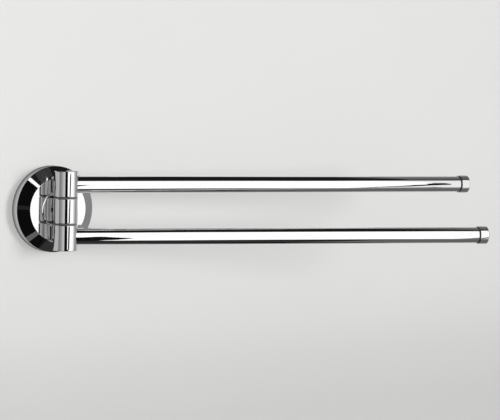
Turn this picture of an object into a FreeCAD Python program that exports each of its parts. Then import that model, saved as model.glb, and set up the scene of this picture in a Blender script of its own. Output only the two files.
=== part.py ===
import FreeCAD, Part
import math
import os

import Sketcher

# Swing arm towel bar. Two round arms turn on one upright barrel, which a post carries in
# front of a round wall cover. Millimetres, +Z up, +Y into the wall, wall plane at Y = 0,
# origin at the middle of the cover's back. Both arms point to +X at rest.

SIZES = {
    # wall cover: a turned cup with a straight rim, a cone bevel and a flat face
    "cover_diameter": 62,
    "cover_face_diameter": 45.2,
    "cover_rim_depth": 6.8,
    "cover_depth": 11.4,
    "cover_wall": 2.0,
    "cover_edge_round": 0.35,
    # wall bracket: the disc that is screwed to the wall inside the cover
    "bracket_thickness": 5.0,
    "bracket_side_gap": 0.4,
    "bracket_pocket_diameter": 18,
    "bracket_pocket_depth": 3.2,
    "bracket_groove_depth": 1.6,
    "bracket_groove_width": 4.0,
    "wall_hole_diameter": 4.5,
    "wall_hole_head_diameter": 8.6,
    "wall_hole_spacing": 38,
    # grub screw through the rim's underside, its point in the bracket's groove
    "cover_screw_diameter": 4.0,
    "cover_screw_from_wall": 2.8,
    "cover_screw_recess": 0.2,
    "cover_screw_point_gap": 0.3,
    "cover_screw_cone_length": 1.7,
    "cover_screw_point_diameter": 0.6,
    "cover_screw_key": 2.0,
    "cover_screw_key_depth": 1.4,
    # post from the cover's face to the barrel
    "post_foot_diameter": 26.6,
    "post_foot_height": 0.8,
    "post_foot_round": 0.3,
    "post_diameter": 11.0,
    "post_end_from_axis": 5.2,
    # screw from behind that clamps the cover to the post, and its split washer
    "post_screw_diameter": 6.0,
    "post_screw_tip_gap": 0.5,
    "post_screw_head_diameter": 10.0,
    "post_screw_head_height": 3.0,
    "post_screw_key": 5.0,
    "post_screw_key_depth": 1.8,
    "post_thread_depth": 3.3,
    "split_washer_diameter": 10.4,
    "split_washer_thickness": 1.4,
    "split_washer_turn": 345,
    # grub screw inside the post that bears on the pin's flat
    "lock_screw_diameter": 5.0,
    "lock_screw_key": 2.5,
    "lock_screw_key_depth": 2.0,
    # barrel
    "barrel_diameter": 17.5,
    "barrel_axis_from_cover": 10.6,
    "barrel_edge_break": 0.15,
    "centre_knuckle_height": 18.0,
    "arm_knuckle_height": 17.2,
    "barrel_cap_thickness": 1.3,
    "barrel_cap_round": 0.45,
    "barrel_cap_plug_wall": 1.75,
    "barrel_cap_plug_length": 1.8,
    # pin, bushes and washers inside the barrel
    "pin_diameter": 8.0,
    "pin_end_chamfer": 0.4,
    "pin_flat_depth": 0.5,
    "pin_flat_length": 7.0,
    "pin_thread_depth": 8.0,
    "bush_diameter": 10.0,
    "bush_end_recess": 0.2,
    "friction_washer_space": 0.8,
    "friction_washer_diameter": 16.5,
    "spring_seat_diameter": 14.0,
    "spring_seat_depth": 4.6,
    "wave_washer_space": 0.8,
    "wave_washer_strip": 0.3,
    "wave_washer_diameter": 13.2,
    "wave_washer_waves": 3,
    "thrust_washer_diameter": 12.6,
    "thrust_washer_thickness": 1.0,
    "retaining_screw_diameter": 5.0,
    "retaining_screw_reach": 6.0,
    "retaining_screw_head_diameter": 9.0,
    "retaining_screw_head_height": 2.0,
    "retaining_screw_key": 3.0,
    "retaining_screw_key_depth": 1.2,
    # arms
    "arm_reach": 328.3,
    "upper_arm_angle": 10.6,
    "lower_arm_angle": 16.7,
    "tube_diameter": 12.0,
    "tube_wall": 1.0,
    "spigot_thread_diameter": 6.0,
    "spigot_bush_gap": 0.4,
    "spigot_barrel_gap": 0.15,
    "spigot_length": 16.0,
    "spigot_chamfer": 0.6,
    "cap_diameter": 13.6,
    "cap_length": 7.2,
    "cap_tip_round": 0.8,
    "cap_edge_break": 0.2,
    "cap_groove_width": 0.4,
    "cap_groove_diameter": 11.2,
    "cap_plug_length": 12.0,
    # clearances
    "running_gap": 0.05,
    "fit_gap": 0.03,
    "thread_gap": 0.05,
    "face_gap": 0.05,
    "seam_gap": 0.06,
    "hole_gap": 0.2,
}

doc = FreeCAD.newDocument("swing_arm_towel_bar")
sheet = doc.addObject("Spreadsheet::Sheet", "Sizes")
for row, (alias, number) in enumerate(SIZES.items(), start=1):
    sheet.set(f"A{row}", alias)
    sheet.set(f"B{row}", str(number))
    sheet.setAlias(f"B{row}", alias)
doc.recompute()


def size(alias):
    """The number in one cell of the sheet."""
    return float(sheet.get(alias))


def half(alias):
    """Half of a cell, as an expression."""
    return f"Sizes.{alias} / 2"


# Places that follow from the sizes, as expressions. Heights are measured from the
# barrel's middle, and depths from the wall.
COVER_FRONT = "Sizes.cover_depth"
COVER_INSIDE = "Sizes.cover_depth - Sizes.cover_wall"
BRACKET_RADIUS = f"{half('cover_diameter')} - Sizes.cover_wall - Sizes.bracket_side_gap"
BARREL_RADIUS = half("barrel_diameter")
AXIS_DEPTH = "(Sizes.cover_depth + Sizes.barrel_axis_from_cover)"
CENTRE_TOP = half("centre_knuckle_height")
ARM_FLOOR = f"{CENTRE_TOP} + Sizes.friction_washer_space"
ARM_HEIGHT = f"{ARM_FLOOR} + {half('arm_knuckle_height')}"
ARM_TOP = f"{ARM_FLOOR} + Sizes.arm_knuckle_height"
SEAT_FLOOR = f"{ARM_TOP} - Sizes.spring_seat_depth"
PIN_END = f"{SEAT_FLOOR} + Sizes.wave_washer_space"
HEAD_SEAT = f"{PIN_END} + Sizes.thrust_washer_thickness"
TUBE_BORE = f"({half('tube_diameter')} - Sizes.tube_wall)"
TUBE_END = "Sizes.arm_reach - Sizes.cap_length - Sizes.cap_groove_width"

SIDES = {"upper": "", "lower": "-"}  # the sign of a height in each half of the barrel
X_AXIS = FreeCAD.Vector(1, 0, 0)
Z_AXIS = FreeCAD.Vector(0, 0, 1)


# ---------------------------------------------------------------- sketches and features


def start_body(label):
    body = doc.addObject("PartDesign::Body", label)
    body.Label = label
    return body


def start_sketch(body, role, name, offset=None):
    """A sketch on one of the body's own origin planes, moved along its normal if asked."""
    sketch = body.newObject("Sketcher::SketchObject", name)
    plane = next(item for item in body.Origin.OriginFeatures if item.Role == role)
    sketch.AttachmentSupport = (plane, [""])
    sketch.MapMode = "FlatFace"
    if offset:
        sketch.setExpression("AttachmentOffset.Base.z", offset)
    return sketch


def drive(sketch, kind, first, first_end, second, second_end, value, expression):
    """One dimension between two points of a sketch, driven by an expression."""
    constraint = Sketcher.Constraint(kind, first, first_end, second, second_end, value)
    index = sketch.addConstraint(constraint)
    sketch.setExpression(f"Constraints[{index}]", expression)


def closed_outline(sketch, corners):
    """A closed outline through corners, each a pair of expressions.

    It starts as a regular polygon, and its dimensions pull each corner to its place."""
    count = len(corners)
    start = []
    for index in range(count):
        turn = 2 * math.pi * index / count
        start.append(FreeCAD.Vector(20 + 10 * math.cos(turn), 10 * math.sin(turn), 0))
    lines = [Part.LineSegment(start[i], start[(i + 1) % count]) for i in range(count)]
    sketch.addGeometry(lines, False)
    joined = [Sketcher.Constraint("Coincident", i, 2, (i + 1) % count, 1) for i in range(count)]
    sketch.addConstraint(joined)
    for index, (across, along) in enumerate(corners):
        drive(sketch, "DistanceX", -1, 1, index, 1, start[index].x, across)
        drive(sketch, "DistanceY", -1, 1, index, 1, start[index].y, along)


def circle(sketch, across, along, diameter):
    """A circle whose centre and diameter are expressions."""
    centre = FreeCAD.Vector(1, 1, 0)
    index = sketch.addGeometry(Part.Circle(centre, Z_AXIS, 1), False)
    drive(sketch, "DistanceX", -1, 1, index, 3, centre.x, across)
    drive(sketch, "DistanceY", -1, 1, index, 3, centre.y, along)
    constraint = sketch.addConstraint(Sketcher.Constraint("Diameter", index, 2.0))
    sketch.setExpression(f"Constraints[{constraint}]", diameter)


def turned(label, role, axis, corners):
    """A body turned from one closed outline about an axis of its sketch."""
    body = start_body(label)
    sketch = start_sketch(body, role, f"{label}_outline")
    closed_outline(sketch, corners)
    turn = body.newObject("PartDesign::Revolution", f"{label}_turned")
    turn.Profile = sketch
    turn.ReferenceAxis = (sketch, [axis])
    turn.Angle = 360
    doc.recompute()
    return body


def turned_about_wall_axis(label, corners):
    """Corners are radius and Y."""
    return turned(label, "XY_Plane", "V_Axis", corners)


def turned_about_barrel(label, corners):
    """Corners are radius and height."""
    return turned(label, "XZ_Plane", "V_Axis", corners)


def turned_about_arm(label, corners):
    """Corners are the distance along the arm and radius."""
    return turned(label, "XZ_Plane", "H_Axis", corners)


def ring(label, inner, outer, low, high):
    return turned_about_barrel(label, [(inner, low), (outer, low), (outer, high), (inner, high)])


def cut(body, sketch, length=None, reverse=False, both_ways=False):
    """A pocket through everything, or to a length. It has to take material away."""
    before = body.Shape.Volume
    pocket = body.newObject("PartDesign::Pocket", f"{sketch.Name}_cut")
    pocket.Profile = sketch
    pocket.Reversed = reverse
    pocket.Midplane = both_ways
    if length:
        pocket.Type = "Length"
        pocket.setExpression("Length", length)
    else:
        pocket.Type = "ThroughAll"
    doc.recompute()
    if body.Shape.Volume >= before:
        raise RuntimeError(f"{pocket.Name} cuts nothing")


def circle_edges(body, radius, belongs):
    """Names of the body's round edges of one radius whose centre passes a test."""
    names = []
    for number, edge in enumerate(body.Shape.Edges, start=1):
        curve = edge.Curve
        if isinstance(curve, Part.Circle) and abs(curve.Radius - radius) < 1e-4:
            if belongs(curve.Center):
                names.append(f"Edge{number}")
    if not names:
        raise RuntimeError(f"{body.Label} has no round edge of radius {radius}")
    return names


def soften(body, kind, edges, expression):
    """A fillet or a chamfer on edges of the body so far."""
    base = body.Tip
    feature = body.newObject(f"PartDesign::{kind}", f"{body.Label}_{kind.lower()}")
    feature.Base = (base, edges)
    feature.setExpression("Radius" if kind == "Fillet" else "Size", expression)
    doc.recompute()


def place(item, depth, height="0", turn=None, axis=Z_AXIS):
    """Puts a piece on the barrel's or the cover's axis and turns it."""
    item.Placement = FreeCAD.Placement(FreeCAD.Vector(), FreeCAD.Rotation(axis, 1))
    item.setExpression("Placement.Base.y", f"-({depth})")
    item.setExpression("Placement.Base.z", height)
    item.setExpression(".Placement.Rotation.Angle", turn or "0")
    doc.recompute()


def hexagon(sketch, key):
    """The six corners of a socket for a key of that width across its flats."""
    corners = []
    for index in range(6):
        reach = f"Sizes.{key} / sqrt(3)"
        corners.append((f"{reach} * cos({60 * index})", f"{reach} * sin({60 * index})"))
    closed_outline(sketch, corners)


def key_socket(body, top, key):
    """A hexagon socket cut down from the top of a screw whose axis is Z."""
    sketch = start_sketch(body, "XY_Plane", f"{body.Label}_socket", top)
    hexagon(sketch, key)
    cut(body, sketch, f"Sizes.{key}_depth")


# ---------------------------------------------------------------- wall side


def make_wall_bracket():
    """Disc with a groove round its edge for the cover's grub screw."""
    edge = BRACKET_RADIUS
    groove = "Sizes.cover_screw_from_wall"
    front = "-Sizes.bracket_thickness"
    pocket_floor = "-(Sizes.bracket_thickness - Sizes.bracket_pocket_depth)"
    pocket_radius = half("bracket_pocket_diameter")
    body = turned_about_wall_axis("wall_bracket", [
        ("0", "0"),
        (edge, "0"),
        (edge, f"-({groove} - {half('bracket_groove_width')})"),
        (f"{edge} - Sizes.bracket_groove_depth", f"-{groove}"),
        (edge, f"-({groove} + {half('bracket_groove_width')})"),
        (edge, front),
        (pocket_radius, front),
        (pocket_radius, pocket_floor),
        ("0", pocket_floor),
    ])
    holes = start_sketch(body, "XZ_Plane", "wall_screw_holes")
    for sign in ("", "-"):
        circle(holes, f"{sign}{half('wall_hole_spacing')}", "0", "Sizes.wall_hole_diameter")
    cut(body, holes, reverse=True)
    front_y = -size("bracket_thickness")
    mouths = circle_edges(body, size("wall_hole_diameter") / 2, lambda c: abs(c.y - front_y) < 1e-4)
    sink = "(Sizes.wall_hole_head_diameter - Sizes.wall_hole_diameter) / 2"
    soften(body, "Chamfer", mouths, sink)
    return body


def make_flange_cover():
    """Turned solid, shelled from the back, drilled for the post and the grub screw."""
    rim = half("cover_diameter")
    body = turned_about_wall_axis("flange_cover", [
        ("0", "0"),
        (rim, "0"),
        (rim, "-Sizes.cover_rim_depth"),
        (half("cover_face_diameter"), f"-{COVER_FRONT}"),
        ("0", f"-{COVER_FRONT}"),
    ])
    rim_edge = circle_edges(body, size("cover_diameter") / 2, lambda c: c.y < -1e-4)
    face_edge = circle_edges(body, size("cover_face_diameter") / 2, lambda c: True)
    soften(body, "Fillet", rim_edge + face_edge, "Sizes.cover_edge_round")
    solid = body.Tip
    back = [
        f"Face{number}"
        for number, face in enumerate(solid.Shape.Faces, start=1)
        if face.BoundBox.YLength < 1e-6 and abs(face.BoundBox.YMax) < 1e-6
    ]
    shell = body.newObject("PartDesign::Thickness", "cover_shell")
    shell.Base = (solid, back)
    shell.setExpression("Value", "Sizes.cover_wall")
    shell.Reversed = True
    shell.Mode = "Skin"
    shell.Join = "Intersection"
    doc.recompute()
    middle = start_sketch(body, "XZ_Plane", "cover_post_hole")
    circle(middle, "0", "0", "Sizes.post_screw_diameter + 2 * Sizes.hole_gap")
    cut(body, middle, reverse=True)
    under = start_sketch(body, "XY_Plane", "cover_grub_hole")
    circle(under, "0", "-Sizes.cover_screw_from_wall", "Sizes.cover_screw_diameter")
    cut(body, under)
    return body


def make_cover_grub_screw():
    """Points up into the bracket's groove. Local Z is down, from the socket to the key."""
    radius = f"{half('cover_screw_diameter')} - Sizes.thread_gap"
    outer_end = f"({half('cover_diameter')} - Sizes.cover_screw_recess)"
    point = f"({BRACKET_RADIUS} - Sizes.bracket_groove_depth + Sizes.cover_screw_point_gap)"
    tip = f"-({outer_end} - {point})"
    shoulder = f"{tip} + Sizes.cover_screw_cone_length"
    body = turned_about_barrel("cover_grub_screw", [
        ("0", "0"),
        (radius, "0"),
        (radius, shoulder),
        (half("cover_screw_point_diameter"), tip),
        ("0", tip),
    ])
    key_socket(body, "0", "cover_screw_key")
    place(body, "Sizes.cover_screw_from_wall", f"-{outer_end}", "180", X_AXIS)
    return body


def make_post():
    """Foot on the cover's face and a stem that enters the barrel's middle knuckle."""
    foot = half("post_foot_diameter")
    stem = half("post_diameter")
    back = f"-{COVER_FRONT}"
    front = f"-({COVER_FRONT} + Sizes.post_foot_height)"
    end = f"-({AXIS_DEPTH} - Sizes.post_end_from_axis - Sizes.face_gap)"
    step = f"-({COVER_FRONT} + Sizes.post_thread_depth)"
    body = turned_about_wall_axis("post", [
        (half("post_screw_diameter"), back),
        (foot, back),
        (foot, front),
        (stem, front),
        (stem, end),
        (half("lock_screw_diameter"), end),
        (half("lock_screw_diameter"), step),
        (half("post_screw_diameter"), step),
    ])
    foot_front = -size("cover_depth") - size("post_foot_height")
    rim = circle_edges(body, size("post_foot_diameter") / 2, lambda c: abs(c.y - foot_front) < 1e-4)
    soften(body, "Fillet", rim, "Sizes.post_foot_round")
    return body


def make_post_screw():
    shank = f"{half('post_screw_diameter')} - Sizes.thread_gap"
    head = half("post_screw_head_diameter")
    in_post = "(Sizes.post_thread_depth - Sizes.post_screw_tip_gap)"
    reach = f"Sizes.cover_wall + Sizes.split_washer_thickness + {in_post}"
    body = turned_about_barrel("post_screw", [
        ("0", f"-({reach})"),
        (shank, f"-({reach})"),
        (shank, "0"),
        (head, "0"),
        (head, "Sizes.post_screw_head_height"),
        ("0", "Sizes.post_screw_head_height"),
    ])
    key_socket(body, "Sizes.post_screw_head_height", "post_screw_key")
    place(body, f"{COVER_INSIDE} - Sizes.split_washer_thickness", "0", "-90", X_AXIS)
    return body


def make_post_spring_washer():
    """Ring with a slit, under the post screw's head."""
    body = start_body("post_spring_washer")
    sketch = start_sketch(body, "XY_Plane", "split_washer_outline")
    inner = f"{half('post_screw_diameter')} + Sizes.hole_gap"
    outer = half("split_washer_diameter")
    near_wall = f"-({COVER_INSIDE} - Sizes.split_washer_thickness)"
    on_cover = f"-({COVER_INSIDE})"
    closed_outline(sketch, [
        (inner, on_cover),
        (outer, on_cover),
        (outer, near_wall),
        (inner, near_wall),
    ])
    turn = body.newObject("PartDesign::Revolution", "split_washer_turned")
    turn.Profile = sketch
    turn.ReferenceAxis = (sketch, ["V_Axis"])
    turn.setExpression("Angle", "Sizes.split_washer_turn")
    doc.recompute()
    return body


# ---------------------------------------------------------------- barrel, fixed pieces


def make_centre_knuckle():
    """Middle of the barrel: bored for the pin, and from behind for the post."""
    bore = f"{half('pin_diameter')} + Sizes.fit_gap"
    body = ring("centre_knuckle", bore, BARREL_RADIUS, f"-{CENTRE_TOP}", CENTRE_TOP)
    seat = start_sketch(body, "XZ_Plane", "post_seat", "-Sizes.post_end_from_axis")
    circle(seat, "0", "0", "Sizes.post_diameter + 2 * Sizes.fit_gap")
    cut(body, seat)
    passage = start_sketch(body, "XZ_Plane", "lock_screw_passage")
    circle(passage, "0", "0", "Sizes.lock_screw_diameter + 2 * Sizes.fit_gap")
    cut(body, passage)
    rims = circle_edges(body, size("barrel_diameter") / 2, lambda c: True)
    soften(body, "Chamfer", rims, "Sizes.barrel_edge_break")
    place(body, AXIS_DEPTH)
    return body


def make_pivot_pin():
    """Straight pin, tapped at both ends, with a flat at the back for the lock screw."""
    radius = half("pin_diameter")
    tap = half("retaining_screw_diameter")
    tap_floor = f"({PIN_END} - Sizes.pin_thread_depth)"
    body = turned_about_barrel("pivot_pin", [
        ("0", f"-{tap_floor}"),
        (tap, f"-{tap_floor}"),
        (tap, f"-({PIN_END})"),
        (radius, f"-({PIN_END})"),
        (radius, PIN_END),
        (tap, PIN_END),
        (tap, tap_floor),
        ("0", tap_floor),
    ])
    ends = circle_edges(body, size("pin_diameter") / 2, lambda c: True)
    soften(body, "Chamfer", ends, "Sizes.pin_end_chamfer")
    flat = start_sketch(body, "XZ_Plane", "pin_flat", f"-({radius} - Sizes.pin_flat_depth)")
    across = "Sizes.pin_diameter"
    along = half("pin_flat_length")
    closed_outline(flat, [
        (f"-{across}", f"-{along}"),
        (across, f"-{along}"),
        (across, along),
        (f"-{across}", along),
    ])
    cut(body, flat)
    place(body, AXIS_DEPTH)
    return body


def make_pin_lock_screw():
    """Grub screw in the post's front end, from its wider bore to the pin's flat.

    Local Z points to the wall."""
    radius = f"{half('lock_screw_diameter')} - Sizes.thread_gap"
    flat_depth = f"{AXIS_DEPTH} - {half('pin_diameter')} + Sizes.pin_flat_depth"
    back_depth = f"{COVER_FRONT} + Sizes.post_thread_depth"
    tip = f"-({flat_depth} - ({back_depth}))"
    body = turned_about_barrel("pin_lock_screw", [
        ("0", tip),
        (radius, tip),
        (radius, "0"),
        ("0", "0"),
    ])
    key_socket(body, "0", "lock_screw_key")
    place(body, back_depth, "0", "-90", X_AXIS)
    return body


def make_friction_washer(side):
    sign = SIDES[side]
    inner = f"{half('pin_diameter')} + Sizes.fit_gap"
    body = ring(
        f"{side}_friction_washer",
        inner,
        half("friction_washer_diameter"),
        f"{sign}({CENTRE_TOP})",
        f"{sign}({ARM_FLOOR} - Sizes.face_gap)",
    )
    place(body, AXIS_DEPTH)
    return body


def make_thrust_washer(side):
    sign = SIDES[side]
    inner = f"{half('retaining_screw_diameter')} + Sizes.hole_gap"
    outer = half("thrust_washer_diameter")
    body = ring(f"{side}_thrust_washer", inner, outer, f"{sign}({PIN_END})", f"{sign}({HEAD_SEAT})")
    place(body, AXIS_DEPTH)
    return body


def make_wave_washer(side):
    """Spring strip whose inner and outer edges rise and fall together round the pin."""
    strip = size("wave_washer_strip")
    swing = (size("wave_washer_space") - 2 * size("face_gap") - strip) / 2
    inner = size("pin_diameter") / 2 + size("running_gap")
    edges = []
    points_per_wave = 16
    count = points_per_wave * int(size("wave_washer_waves"))
    for radius in (inner, size("wave_washer_diameter") / 2):
        points = []
        for index in range(count):
            turn = 2 * math.pi * index / count
            rise = swing * math.cos(size("wave_washer_waves") * turn)
            points.append(FreeCAD.Vector(radius * math.cos(turn), radius * math.sin(turn), rise))
        curve = Part.BSplineCurve()
        curve.interpolate(points, True)
        edges.append(curve.toShape())
    surface = Part.makeRuledSurface(edges[0], edges[1])
    surface.translate(FreeCAD.Vector(0, 0, -strip / 2))
    washer = doc.addObject("Part::Feature", f"{side}_wave_washer")
    washer.Label = f"{side}_wave_washer"
    washer.Shape = surface.extrude(FreeCAD.Vector(0, 0, strip))
    place(washer, AXIS_DEPTH, f"{SIDES[side]}({SEAT_FLOOR} + {half('wave_washer_space')})")
    return washer


def make_retaining_screw(side):
    shank = f"{half('retaining_screw_diameter')} - Sizes.thread_gap"
    head = half("retaining_screw_head_diameter")
    reach = "(Sizes.thrust_washer_thickness + Sizes.retaining_screw_reach)"
    body = turned_about_barrel(f"{side}_retaining_screw", [
        ("0", f"-{reach}"),
        (shank, f"-{reach}"),
        (shank, "0"),
        (head, "0"),
        (head, "Sizes.retaining_screw_head_height"),
        ("0", "Sizes.retaining_screw_head_height"),
    ])
    key_socket(body, "Sizes.retaining_screw_head_height", "retaining_screw_key")
    turn = "0" if side == "upper" else "180"
    place(body, AXIS_DEPTH, f"{SIDES[side]}({HEAD_SEAT})", turn, X_AXIS)
    return body


# ---------------------------------------------------------------- arms


def arm_turn(side):
    """Positive turns about +Z go to the wall, so the arms' angles are negative."""
    return f"-Sizes.{side}_arm_angle"


def make_arm_knuckle(side):
    """Bored for the bush, counterbored for the spring stack, drilled for the spigot."""
    sign = SIDES[side]
    bore = f"{half('bush_diameter')} + Sizes.fit_gap"
    seat = half("spring_seat_diameter")
    body = turned_about_barrel(f"{side}_knuckle", [
        (bore, f"{sign}({ARM_FLOOR})"),
        (BARREL_RADIUS, f"{sign}({ARM_FLOOR})"),
        (BARREL_RADIUS, f"{sign}({ARM_TOP})"),
        (seat, f"{sign}({ARM_TOP})"),
        (seat, f"{sign}({SEAT_FLOOR})"),
        (bore, f"{sign}({SEAT_FLOOR})"),
    ])
    tapping = start_sketch(body, "YZ_Plane", f"{side}_spigot_hole")
    circle(tapping, "0", f"{sign}({ARM_HEIGHT})", "Sizes.spigot_thread_diameter")
    cut(body, tapping, reverse=True)
    inner_rim = size("centre_knuckle_height") / 2 + size("friction_washer_space")
    rims = circle_edges(
        body, size("barrel_diameter") / 2, lambda c: abs(abs(c.z) - inner_rim) < 1e-4
    )
    soften(body, "Chamfer", rims, "Sizes.barrel_edge_break")
    place(body, AXIS_DEPTH, turn=arm_turn(side))
    return body


def make_bush(side):
    sign = SIDES[side]
    body = ring(
        f"{side}_bush",
        f"{half('pin_diameter')} + Sizes.running_gap",
        half("bush_diameter"),
        f"{sign}({ARM_FLOOR} + Sizes.bush_end_recess)",
        f"{sign}({SEAT_FLOOR} - Sizes.bush_end_recess)",
    )
    place(body, AXIS_DEPTH, turn=arm_turn(side))
    return body


def make_barrel_cap(side):
    """Disc that closes the barrel's end, with a ring that plugs the counterbore."""
    sign = SIDES[side]
    plug_outer = f"({half('spring_seat_diameter')} - Sizes.fit_gap)"
    plug_inner = f"{plug_outer} - Sizes.barrel_cap_plug_wall"
    plug_end = f"{sign}({ARM_TOP} - Sizes.barrel_cap_plug_length)"
    inside = f"{sign}({ARM_TOP})"
    outside = f"{sign}({ARM_TOP} + Sizes.barrel_cap_thickness)"
    body = turned_about_barrel(f"{side}_barrel_cap", [
        ("0", inside),
        (plug_inner, inside),
        (plug_inner, plug_end),
        (plug_outer, plug_end),
        (plug_outer, inside),
        (BARREL_RADIUS, inside),
        (BARREL_RADIUS, outside),
        ("0", outside),
    ])
    heights = [abs(vertex.Z) for vertex in body.Shape.Vertexes]
    rim = circle_edges(
        body, size("barrel_diameter") / 2, lambda c: abs(abs(c.z) - max(heights)) < 1e-4
    )
    soften(body, "Fillet", rim, "Sizes.barrel_cap_round")
    place(body, AXIS_DEPTH, turn=arm_turn(side))
    return body


def place_on_arm(body, side):
    place(body, AXIS_DEPTH, f"{SIDES[side]}({ARM_HEIGHT})", arm_turn(side))


def make_spigot(side):
    """Threaded stub in the knuckle, with a plug that carries the tube."""
    thread = f"{half('spigot_thread_diameter')} - Sizes.thread_gap"
    plug = f"{TUBE_BORE} - Sizes.fit_gap"
    thread_end = f"{half('bush_diameter')} + Sizes.spigot_bush_gap"
    shoulder = f"({BARREL_RADIUS} + Sizes.spigot_barrel_gap)"
    end = f"{shoulder} + Sizes.spigot_length"
    body = turned_about_arm(f"{side}_spigot", [
        (thread_end, "0"),
        (thread_end, thread),
        (shoulder, thread),
        (shoulder, plug),
        (end, plug),
        (end, "0"),
    ])
    far = max(vertex.X for vertex in body.Shape.Vertexes)
    plug_radius = size("tube_diameter") / 2 - size("tube_wall") - size("fit_gap")
    rim = circle_edges(body, plug_radius, lambda c: abs(c.x - far) < 1e-4)
    soften(body, "Chamfer", rim, "Sizes.spigot_chamfer")
    place_on_arm(body, side)
    return body


def make_tube(side):
    """Drawn tube, coped to the barrel's round side."""
    body = start_body(f"{side}_tube")
    section = start_sketch(body, "YZ_Plane", f"{side}_tube_section")
    circle(section, "0", "0", "Sizes.tube_diameter")
    circle(section, "0", "0", f"2 * {TUBE_BORE}")
    drawn = body.newObject("PartDesign::Pad", f"{side}_tube_drawn")
    drawn.Profile = section
    drawn.setExpression("Length", TUBE_END)
    doc.recompute()
    cope = start_sketch(body, "XY_Plane", f"{side}_tube_cope")
    circle(cope, "0", "0", f"2 * ({BARREL_RADIUS} + Sizes.seam_gap)")
    cut(body, cope, both_ways=True)
    place_on_arm(body, side)
    return body


def make_end_cap(side):
    """Turned cap, a little larger than the tube, with a shadow groove at its root."""
    plug = f"{TUBE_BORE} - Sizes.fit_gap"
    groove = half("cap_groove_diameter")
    rim = half("cap_diameter")
    plug_end = f"{TUBE_END} - Sizes.cap_plug_length"
    root = f"{TUBE_END} + Sizes.cap_groove_width"
    tip = "Sizes.arm_reach"
    body = turned_about_arm(f"{side}_end_cap", [
        (plug_end, "0"),
        (plug_end, plug),
        (TUBE_END, plug),
        (TUBE_END, groove),
        (root, groove),
        (root, rim),
        (tip, rim),
        (tip, "0"),
    ])
    reach = size("arm_reach")
    cap_radius = size("cap_diameter") / 2
    tip_edge = circle_edges(body, cap_radius, lambda c: abs(c.x - reach) < 1e-4)
    soften(body, "Fillet", tip_edge, "Sizes.cap_tip_round")
    root_edge = circle_edges(
        body, cap_radius, lambda c: abs(c.x - reach + size("cap_length")) < 1e-4
    )
    soften(body, "Chamfer", root_edge, "Sizes.cap_edge_break")
    place_on_arm(body, side)
    return body


# ---------------------------------------------------------------- assembly

pieces = [
    make_wall_bracket(),
    make_flange_cover(),
    make_cover_grub_screw(),
    make_post(),
    make_post_screw(),
    make_post_spring_washer(),
    make_centre_knuckle(),
    make_pivot_pin(),
    make_pin_lock_screw(),
]
for half_name in SIDES:
    pieces += [
        make_friction_washer(half_name),
        make_wave_washer(half_name),
        make_thrust_washer(half_name),
        make_retaining_screw(half_name),
        make_arm_knuckle(half_name),
        make_bush(half_name),
        make_barrel_cap(half_name),
        make_spigot(half_name),
        make_tube(half_name),
        make_end_cap(half_name),
    ]
doc.recompute()

for item in doc.Objects:
    if "Invalid" in item.State or "Error" in item.State:
        raise RuntimeError(f"{item.Name} is {item.State}")
for piece in pieces:
    if piece.Shape.isNull() or not piece.Shape.isValid() or len(piece.Shape.Solids) != 1:
        raise RuntimeError(f"{piece.Label} isn't one valid solid")

os.makedirs("parts", exist_ok=True)
for piece in pieces:
    piece.Shape.exportStep(f"parts/{piece.Label}.step")
    print(f"{piece.Label}: {piece.Shape.Volume:.1f} mm3")
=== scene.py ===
import math

import bmesh
import bpy
from mathutils import Euler, Matrix, Vector


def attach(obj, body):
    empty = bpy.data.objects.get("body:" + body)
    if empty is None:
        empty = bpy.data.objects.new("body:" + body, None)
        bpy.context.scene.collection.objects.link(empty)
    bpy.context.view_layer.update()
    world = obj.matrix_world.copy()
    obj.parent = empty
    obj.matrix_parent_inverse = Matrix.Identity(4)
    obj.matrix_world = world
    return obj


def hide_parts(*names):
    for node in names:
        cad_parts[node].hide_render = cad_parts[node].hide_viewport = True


# Swing arm towel bar in bright chrome. Metres in Blender; every size below is in millimetres
# unless its comment says otherwise, in the frame's own axes: +Z up, +Y into the wall, wall
# plane at Y = 0. Wall-side pieces are measured off the wall, arms from the barrel's axis.

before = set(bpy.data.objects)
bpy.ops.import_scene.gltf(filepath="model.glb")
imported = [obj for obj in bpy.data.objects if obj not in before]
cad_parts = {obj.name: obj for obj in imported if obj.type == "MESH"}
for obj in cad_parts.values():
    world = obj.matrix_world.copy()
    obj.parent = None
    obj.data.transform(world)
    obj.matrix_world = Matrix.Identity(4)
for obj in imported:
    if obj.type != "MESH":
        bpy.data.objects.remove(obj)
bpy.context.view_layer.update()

MM = 0.001

# gaps between pieces
FIT_GAP = 0.03
THREAD_GAP = 0.05
RUNNING_GAP = 0.05
SEAM_GAP = 0.06
SHADE_SEAL_GAP = 0.02

# wall cover and the grub screw in its rim
COVER_RADIUS = 31.0
COVER_FACE_RADIUS = 22.6
COVER_RIM_DEPTH = 6.8
COVER_DEPTH = 11.4
COVER_WALL = 2.0
COVER_EDGE_ROUND = 0.35
COVER_LIP_ROUND = 0.25
COVER_BORE_RADIUS = 3.2
COVER_SCREW_FROM_WALL = 2.8
COVER_SCREW_HOLE_RADIUS = 2.0
COVER_SCREW_RECESS = 0.2
COVER_SCREW_TIP = 27.3
COVER_SCREW_POINT_RADIUS = 0.3
COVER_SCREW_CONE_LENGTH = 1.7
COVER_SCREW_ROUND = 0.15
COVER_SCREW_KEY = 2.0
COVER_SCREW_KEY_DEPTH = 1.4

# wall bracket
BRACKET_RADIUS = 28.6
BRACKET_THICKNESS = 5.0
BRACKET_GROOVE_RADIUS = 27.0
BRACKET_GROOVE_WIDTH = 4.0
BRACKET_POCKET_RADIUS = 9.0
BRACKET_POCKET_FLOOR = 1.8
BRACKET_ROUND = 0.2
WALL_HOLE_RADIUS = 2.25
WALL_HOLE_HEAD_RADIUS = 4.3
WALL_HOLE_FROM_MIDDLE = 19.0

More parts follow.
